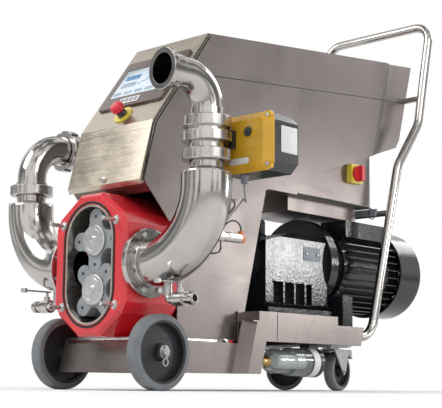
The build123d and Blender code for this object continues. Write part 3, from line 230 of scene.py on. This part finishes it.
NODE_MATERIALS = {
    "sheet": "cabinet_lower cabinet_lid switch_box pedestal_cover",
    "frame_sheet": "trolley_frame",
    "panel": "front_panel",
    "polished": "right_elbow left_elbow right_upper_elbow left_upper_elbow handle_frame",
    "ground": "union_nuts valve_body drain_bodies right_drain_lever left_drain_lever",
    "turned": "upper_rotor_cap lower_rotor_cap cover_studs shaft_bearings upper_shaft lower_shaft "
              "shaft_coupling valve_disc motor_rotor",
    "zinc": "front_axle caster_plates right_caster_fork left_caster_fork right_caster_pedal "
            "left_caster_pedal port_bolts",
    "red": "pump_casing gear_case",
    "black": "gearbox_housing motor_housing terminal_box fan_cowl",
    "rotor": "upper_rotor lower_rotor",
    "seal": "casing_seal",
    "chamber": "chamber_liner",
    "yellow": "actuator_base",
    "black_plastic": "actuator_cover actuator_bracket filter_head",
    "grey_plastic": "actuator_gland",
    "red_plastic": "e_stop_button isolator_knob",
    "yellow_plastic": "e_stop_ring isolator_plate",
    "bezel": "display",
}


def dress_nodes():
    for key, names in NODE_MATERIALS.items():
        for name in names.split():
            slots = NODES[name].data.materials
            slots.clear()
            slots.append(MATERIALS[key])


# ---------------------------------------------------------------- pieces
TRIM_CREASE, NODE_CREASE = 35, 30           # degrees; a sharper fold than this stays sharp
CORNER_STEPS = 4


def settle(obj, material, body="trolley"):
    """Put a new piece in the scene with its finish, on the body it rides on."""
    bpy.context.collection.objects.link(obj)
    obj.data.materials.append(MATERIALS[material])
    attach(obj, body)
    return obj


def smooth_object(name, bm, crease):
    mesh = bpy.data.meshes.new(name)
    bm.to_mesh(mesh)
    bm.free()
    for face in mesh.polygons:
        face.use_smooth = True
    mesh.set_sharp_from_angle(angle=radians(crease))
    return bpy.data.objects.new(name, mesh)


def mesh_piece(name, bm, place, material, body="trolley"):
    bmesh.ops.remove_doubles(bm, verts=bm.verts, dist=1e-6)
    bmesh.ops.recalc_face_normals(bm, faces=bm.faces)
    bm.transform(place)
    return settle(smooth_object(name, bm, TRIM_CREASE), material, body)


def frame_at(x, y, z, normal=(0, 0, 1), across=(1, 0, 0)):
    """Placement with its Z along normal and its X near across."""
    z_axis = Vector(normal).normalized()
    x_axis = (Vector(across) - z_axis * Vector(across).dot(z_axis)).normalized()
    turn = Matrix((x_axis, z_axis.cross(x_axis), z_axis)).transposed().to_4x4()
    return Matrix.Translation(at(x, y, z)) @ turn


def slab(name, place, size, material, corner=2.0, bevel=0.5):
    """Plate with rounded corners and softened front edges, its back on the place's XY plane."""
    width, height, thick = size
    bm = bmesh.new()
    outline = []
    for index, (sx, sy) in enumerate(((1, 1), (-1, 1), (-1, -1), (1, -1))):
        for step in range(CORNER_STEPS + 1):
            angle = radians(90 * index + 90 * step / CORNER_STEPS)
            outline.append(((sx * (width / 2 - corner) + corner * cos(angle)) * MM,
                            (sy * (height / 2 - corner) + corner * sin(angle)) * MM, 0))
    base = bm.faces.new([bm.verts.new(point) for point in outline])
    grown = bmesh.ops.extrude_face_region(bm, geom=[base])["geom"]
    top = [item for item in grown if isinstance(item, bmesh.types.BMVert)]
    bmesh.ops.translate(bm, verts=top, vec=(0, 0, thick * MM))
    rim = [edge for edge in bm.edges if all(abs(v.co.z - thick * MM) < 1e-7 for v in edge.verts)]
    bmesh.ops.bevel(bm, geom=rim, offset=bevel * MM, segments=2, affect="EDGES", profile=0.5)
    return mesh_piece(name, bm, place, material)


def lathe(name, place, profile, material, body="trolley", steps=40):
    """Turned piece about the place's Z axis from (radius, height) points in millimetres."""
    bm = bmesh.new()
    closed = list(profile) + ([profile[0]] if profile[0][0] or profile[-1][0] else [])
    verts = [bm.verts.new((radius * MM, 0, height * MM)) for radius, height in closed]
    edges = [bm.edges.new(pair) for pair in zip(verts, verts[1:])]
    bmesh.ops.spin(bm, geom=verts + edges, cent=(0, 0, 0), axis=(0, 0, 1), angle=2 * pi, steps=steps,
                   use_merge=True)
    return mesh_piece(name, bm, place, material, body)


def bead(name, place, radius, thick, material, body="trolley", steps=64):
    """Round bead, such as a weld or a seal, in the place's XY plane."""
    ring = [(radius + thick * cos(radians(45 * k)), thick * sin(radians(45 * k))) for k in range(8)]
    return lathe(name, place, ring, material, body, steps)


def line(name, points, radius, material, order=3):
    """Round bar, cable or bead along a smooth line through the given route."""
    curve = bpy.data.curves.new(name, "CURVE")
    curve.dimensions = "3D"
    spline = curve.splines.new("NURBS")
    spline.points.add(len(points) - 1)
    for target, point in zip(spline.points, points):
        target.co = (*at(*point), 1)
    spline.order_u = order
    spline.use_endpoint_u = True
    curve.bevel_depth = radius * MM
    curve.bevel_resolution = 4
    curve.resolution_u = 12
    curve.use_fill_caps = True
    return settle(bpy.data.objects.new(name, curve), material)


def loose_part(name, node, keep, material, body):
    """New piece made of those faces of a node, as the CAD splits them, whose box passes the test."""
    bm = bmesh.new()
    bm.from_mesh(NODES[node].data)
    unseen = set(bm.verts)
    drop = []
    while unseen:
        island, queue = set(), [unseen.pop()]
        while queue:
            vert = queue.pop()
            island.add(vert)
            for edge in vert.link_edges:
                other = edge.other_vert(vert)
                if other in unseen:
                    unseen.discard(other)
                    queue.append(other)
        low = Vector([min(v.co[axis] for v in island) for axis in range(3)])
        high = Vector([max(v.co[axis] for v in island) for axis in range(3)])
        if not keep((low - ORIGIN) / MM, (high - ORIGIN) / MM):
            drop.extend(island)
    bmesh.ops.delete(bm, geom=drop, context="VERTS")
    return settle(smooth_object(name, bm, NODE_CREASE), material, body)


def split_node(node, body, rows):
    """Replace a node of several solids by one piece per (name, test, material)."""
    for name, keep, material in rows:
        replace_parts(loose_part(name, node, keep, material, body), node)


WHEEL_DISC_HEIGHT, CASTER_DISC_HEIGHT = 190, 115    # the tyres' faces are taller, the discs' aren't
SENSOR_PLUG_Y = 157         # the faces of the sensor's plug begin beyond this, its body's before
FILTER_DRAIN_Y = 477.5      # the filter's drain cap ends here


def make_split_nodes():
    for side in ("right", "left"):
        for part, node, limit in (("wheel", f"{side}_wheel", WHEEL_DISC_HEIGHT),
                                  ("caster", f"{side}_caster_wheel", CASTER_DISC_HEIGHT)):
            split_node(node, node, [
                (f"{side}_{part}_tyre", lambda low, high: (high - low).z > limit, "tyre"),
                (f"{side}_{part}_disc", lambda low, high: (high - low).z <= limit, "disc")])
    split_node("line_sensor", "trolley", [
        ("sensor_body", lambda low, high: low.y <= SENSOR_PLUG_Y, "ground"),
        ("sensor_plug", lambda low, high: low.y > SENSOR_PLUG_Y, "orange_plastic")])
    split_node("filter_bowl", "trolley", [
        ("filter_glass", lambda low, high: high.y > FILTER_DRAIN_Y, "glass"),
        ("filter_drain", lambda low, high: high.y <= FILTER_DRAIN_Y, "brass")])


# ---------------------------------------------------------------- cables
ACTUATOR_CABLE = [(392, 112, 540), (392, 112, 517), (379, 132, 502), (352, 165, 502), (306, 216, 512),
                  (256, 268, 526), (210, 316, 541), (178, 347, 549), (156, 370, 552), (147, 366, 537),
                  (146, 349, 521), (146, 327, 500), (145, 300, 474), (140, 288, 462)]
SENSOR_CABLE = [(330.4, 167.9, 424), (330.4, 167.9, 440), (326, 152, 452), (319, 136, 450), (312, 123, 438),
                (306, 116, 420), (300, 118, 401), (282, 142, 386), (242, 182, 377), (190, 214, 377),
                (140, 234, 385)]


def make_cables():
    for name, route, thick, length, material in (
            ("actuator_cable", ACTUATOR_CABLE, 5.0, 0.507, "grey_plastic"),
            ("sensor_cable", SENSOR_CABLE, 4.5, 0.318, "black_plastic")):
        cable = line(f"{name}_lay", route, thick / 2, material)
        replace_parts(cable, name)


def make_cable_bundle():
    """Strapped cables along the cross bar, and their ties."""
    for index, (dy, dz) in enumerate(((-13, 4), (-15, -4), (-8, 13))):
        y = CROSS_Y + dy
        line(f"bundle_wire_{index}", [(-112, y, 588 + dz), (-60, y - 2, 589 + dz), (0, y, 587 + dz),
                                      (70, y - 2, 589 + dz), (152, y, 588 + dz)], 4.2, "grey_plastic")
    for index, x in enumerate((-96, -30, 40, 128)):
        bead(f"bundle_tie_{index}", frame_at(x, CROSS_Y - 4, 590, RIGHT, BACK), 17.5, 1.8, "black_plastic",
             steps=24)


# ---------------------------------------------------------------- display, cabinet, switch box
def at_panel(across, along, lift):
    """Point on the sloping panel: across it, up its slope from the bend, and off its face."""
    return (across, PANEL_BEND_Y + along * PANEL_RUN - lift * PANEL_RISE,
            PANEL_BEND_Z + along * PANEL_RISE + lift * PANEL_RUN)


def on_panel(across, along, lift):
    """Placement at that point, facing out of the panel."""
    return frame_at(*at_panel(across, along, lift), (0, -PANEL_RISE, PANEL_RUN), RIGHT)


def make_display():
    slab("screen_glass", on_panel(3, 192, 5.6), (229, 121, 0.8), "screen", 3)
    rows = ((-62, 214, 62, 20, "key_blue"), (-62, 182, 62, 20, "key_grey"), (70, 205, 62, 60, "key_grey"))
    for index, (x, u, wide, high, material) in enumerate(rows):
        slab(f"screen_tile_{index}", on_panel(x, u, 6.4), (wide, high, 0.25), material, 2, 0.08)
    graph = ((-22, 176), (-8, 190), (4, 184), (16, 206), (30, 214))
    line("screen_graph", [at_panel(x, u, 6.6) for x, u in graph], 0.9, "key_blue")
    for index in range(5):
        slab(f"screen_button_{index}", on_panel(-88 + index * 44, 146, 6.4), (32, 12, 0.25), "key_grey", 2,
             0.08)
    slab("keypad", on_panel(-10, 105, 8.0), (83, 25, 0.7), "white_plastic", 3)
    for index in range(4):
        slab(f"keypad_key_{index}", on_panel(-38 + index * 18.6, 105, 8.7), (13, 15, 0.6), "grey_plastic",
             2, 0.2)


def make_cabinet_trim():
    for sign in (-1, 1):
        line(f"panel_gasket_{sign + 1}", [(sign * 149.2, 224, 1015), (sign * 149.2, 10.5, 724),
                                          (sign * 149.2, -25, 559)], 1.6, "seal", order=2)
    slab("chin_bolt_plate", frame_at(0, -39.5, 575, (0, -1, 0.05), (1, 0, 0)), (20, 12, 1.5), "turned", 2)
    lathe("chin_bolt", frame_at(0, -40.5, 575, (0, -1, 0.05), (1, 0, 0)),
          [(0, 0), (6, 0), (6, 3), (4.5, 4.5), (0, 4.5)], "turned", steps=24)
    # The black lines along the foot of the switch box are painted shade for the shadowed gap under the box,
    # not a seal.
    for name, x in (("box_foot_shade", 140.5), ("box_foot_shade_left", -140.5)):
        line(name, [(x, y, 606) for y in (648, 840, 1028)], 3.4, "seal")


# ---------------------------------------------------------------- actuator, pump head, filter
def make_actuator_trim():
    slab("actuator_label", frame_at(512.6, 150, 646, RIGHT, BACK), (66, 70, 0.8), "label", 3)
    slab("actuator_pill", frame_at(412, 66.5, 590, FRONT, RIGHT), (70, 16, 1.0), "white_plastic", 7)
    for index, (x, z) in enumerate(((326, 576), (499, 576), (326, 703), (499, 703))):
        lathe(f"actuator_screw_{index}", frame_at(x, 80, z, FRONT, RIGHT),
              [(0, 0), (5.5, 0), (5.5, 4), (4, 5.5), (2.4, 5.5), (2.4, 3), (0, 3)], "turned", steps=20)
    lathe("actuator_plug", frame_at(446, 64.2, 664, FRONT, RIGHT),
          [(0, 0), (13, 0), (13, 2.5), (11, 4), (6, 4), (5, 2.5), (0, 2.5)], "black_plastic", steps=32)
    bead("actuator_joint_ring", frame_at(RISER_X, 60, 648, FRONT, RIGHT), 17.5, 1.2, "seal")


def make_head_trim():
    for name, height in ROTOR_Z.items():
        body = f"{name}_rotor_set"
        bead(f"{name}_cap_groove", frame_at(0, -66.2, height, FRONT, RIGHT), 30, 0.9, "turned", body)
        lathe(f"{name}_cap_boss", frame_at(0, -70, height, FRONT, RIGHT),
              [(0, 0), (10, 0), (10, 1.0), (8.5, 2.2), (4.5, 2.2), (4.5, 0.6), (0, 0.6)], "turned", body, 32)
    for index, (x, z) in enumerate(((-107, 223), (107, 223), (-107, 449), (107, 449))):
        bead(f"stud_collar_{index}", frame_at(x, -81, z, FRONT, RIGHT), 11.5, 1.0, "turned", steps=32)


def make_welds():
    for side, top in ((-1, 542), (1, 554)):
        x = side * RISER_X
        bead(f"neck_weld_{side + 1}", frame_at(x, 0, top, UP), 66.2, 0.9, "ground")
        bead(f"neck_weld_top_{side + 1}", frame_at(x, 0, top + 15, UP), 42.6, 0.8, "ground")
        bead(f"flange_weld_{side + 1}", frame_at(side * 170, 0, PORT_Z, RIGHT, BACK), 66.6, 1.4, "ground")


def make_filter_trim():
    bead("filter_ring", frame_at(FILTER_X, 668, FILTER_Z, BACK, RIGHT), 42.6, 1.2, "white_plastic")
    lathe("filter_collar", frame_at(FILTER_X, 651, FILTER_Z, BACK, RIGHT),
          [(43.2, 0), (44.6, 1), (44.6, 30), (43.2, 31)], "white_plastic")
    lathe("filter_element", frame_at(FILTER_X, 512, FILTER_Z, BACK, RIGHT),
          [(0, 0), (16, 0), (20, 6), (20, 130), (0, 130)], "white_plastic")


def make_frame_trim():
    line("platform_seam", [(205.2, 470, 146), (205.2, 471, 190), (205.2, 471, 224)], 0.9, "seal")
    slab("gear_plate", frame_at(130.4, 727, 424, RIGHT, BACK), (84, 44, 0.9), "grey_plastic", 3)
    slab("base_edge_front", frame_at(0, -24, BASE_Z, FRONT, RIGHT), (300, 8, 0.8), "turned", 1, 0.2)
    for side in (-1, 1):
        face = (side, 0, 0)
        slab(f"base_edge_{side + 1}", frame_at(side * 150, 130, BASE_Z, face, BACK), (308, 8, 0.8),
             "turned", 1, 0.2)
        slab(f"lug_{side + 1}", frame_at(side * 151, 296, BASE_Z, face, BACK), (36, 14, 5), "ground", 2)
        lathe(f"lug_screw_{side + 1}", frame_at(side * 156, 296, BASE_Z, face, BACK),
              [(0, 0), (5, 0), (5, 2), (4, 3), (2, 3), (2, 1.5), (0, 1.5)], "black_plastic", steps=24)


def make_stop_collar():
    lathe("e_stop_collar", on_panel(0, 46, 4.0), [(9.4, 0), (15, 0), (14, 12.5), (9.4, 12.5)],
          "black_plastic")


def make_rotor_dimple_shade():
    # Thin black discs on each lobe are painted shade, standing in for the dark of the small dimples there.
    for name, turn in (("upper", 0), ("lower", 45)):
        for quarter in range(4):
            angle = radians(turn + 90 * quarter)
            lathe(f"{name}_lobe_dimple_shade_{quarter}",
                  frame_at(66 * sin(angle), -58.0, ROTOR_Z[name] + 66 * cos(angle), FRONT, RIGHT),
                  [(0, 0), (4.6, 0), (4.6, 0.4), (3.4, 0.7), (0, 0.5)], "seal", f"{name}_rotor_set", 20)


def make_wheel_trim():
    for side, sign in (("right", 1), ("left", -1)):
        body = f"{side}_wheel"
        bead(f"{side}_rim_line", frame_at(sign * 213, 0, 100, (sign, 0, 0), (0, 1, 0)), 84, 1.0, "seal", body)


# ---------------------------------------------------------------- stage and light
FLOOR_REACH = 40.0
FADE_NEAR, FADE_FAR = 0.9, 1.9              # the floor turns to the background's white between these
ROOM_DARK, ROOM_BRIGHT = 0.22, 1.15         # strengths of the background that reflections see
DIFFUSE_LIGHT = 0.55                        # background strength that lights matt surfaces


def make_stage():
    """Pale floor. For camera rays alone it fades to white away from the machine, so no horizon shows."""
    floor_mesh = bpy.data.meshes.new("floor")
    corners = [(x * FLOOR_REACH, y * FLOOR_REACH, 0) for x, y in ((-1, -1), (1, -1), (1, 1), (-1, 1))]
    floor_mesh.from_pydata(corners, [], [(0, 1, 2, 3)])
    floor = bpy.data.objects.new("floor", floor_mesh)
    bpy.context.collection.objects.link(floor)
    material, tree, shader = new_material("pale_floor")
    shader.inputs["Base Color"].default_value = (0.90, 0.90, 0.90, 1)
    shader.inputs["Roughness"].default_value = 0.6
    shader.inputs["Specular IOR Level"].default_value = 0.2
    place = add(tree, "ShaderNodeTexCoord").outputs["Object"]
    far = add(tree, "ShaderNodeVectorMath", {0: place}, operation="LENGTH").outputs["Value"]
    fade = ramp(tree, far, 0.0, 1.0, FADE_NEAR, FADE_FAR)
    path = add(tree, "ShaderNodeLightPath").outputs["Is Camera Ray"]
    fade = add(tree, "ShaderNodeMath", {0: fade, 1: path}, operation="MULTIPLY").outputs[0]
    white = add(tree, "ShaderNodeEmission", {"Color": (1, 1, 1, 1), "Strength": 1.0}).outputs["Emission"]
    blended = add(tree, "ShaderNodeMixShader",
                  {0: fade, 1: shader.outputs["BSDF"], 2: white}).outputs["Shader"]
    tree.links.new(blended, tree.nodes["Material Output"].inputs["Surface"])
    floor_mesh.materials.append(material)


def make_world():
    """White to the camera and through glass, dimmer to matt surfaces, and a cloudy room in reflections."""
    world = bpy.data.worlds.new("studio")
    bpy.context.scene.world = world
    world.use_nodes = True
    tree = world.node_tree
    background = tree.nodes["Background"]
    path = add(tree, "ShaderNodeLightPath")
    seen = add(tree, "ShaderNodeMath",
               {0: path.outputs["Is Camera Ray"], 1: path.outputs["Is Transmission Ray"]},
               operation="MAXIMUM").outputs[0]
    strength = ramp(tree, seen, DIFFUSE_LIGHT, 1.0, 0.0, 1.0)
    direction = add(tree, "ShaderNodeTexCoord").outputs["Generated"]
    mapping = add(tree, "ShaderNodeMapping", {"Vector": direction, "Scale": (1.9, 1.9, 0.7)})
    cloud = add(tree, "ShaderNodeTexNoise",
                {"Vector": mapping.outputs["Vector"], "Scale": 1.7, "Detail": 1.0})
    room = ramp(tree, cloud.outputs["Fac"], ROOM_DARK, ROOM_BRIGHT, 0.44, 0.56)
    glossy = add(tree, "ShaderNodeMix", {0: path.outputs["Is Glossy Ray"], 2: strength, 3: room},
                 data_type="FLOAT")
    background.inputs["Color"].default_value = (1, 1, 1, 1)
    tree.links.new(glossy.outputs[0], background.inputs["Strength"])


def area_light(name, place, target, size, power):
    data = bpy.data.lights.new(name, "AREA")
    data.shape = "RECTANGLE"
    data.size, data.size_y = size
    data.energy = power
    light = bpy.data.objects.new(name, data)
    bpy.context.collection.objects.link(light)
    light.location = place
    light.rotation_euler = (Vector(target) - Vector(place)).to_track_quat("-Z", "Y").to_euler()


def make_lights():
    """Three soft lights, and a small one that makes the bright patch on the gear unit's side."""
    area_light("key", (-1.6, -3.0, 3.2), (0, 0, 0.6), (2.2, 2.2), 100)
    area_light("fill", (3.6, -0.6, 2.4), (0, 0, 0.6), (2.0, 2.0), 45)
    area_light("back", (0.5, 3.5, 3.0), (0, 0, 0.7), (2.5, 1.5), 60)
    area_light("sheen", (2.12, 2.43, 0.80), (0.09, 0.0, 0.43), (0.5, 0.45), 13)


make_camera()
make_cables()
dress_nodes()
make_split_nodes()
make_cable_bundle()
make_display()
make_cabinet_trim()
make_actuator_trim()
make_head_trim()
make_welds()
make_filter_trim()
make_frame_trim()
make_wheel_trim()
make_stop_collar()
make_rotor_dimple_shade()
make_stage()
make_world()
make_lights()

bpy.context.scene.view_settings.view_transform = "Standard"
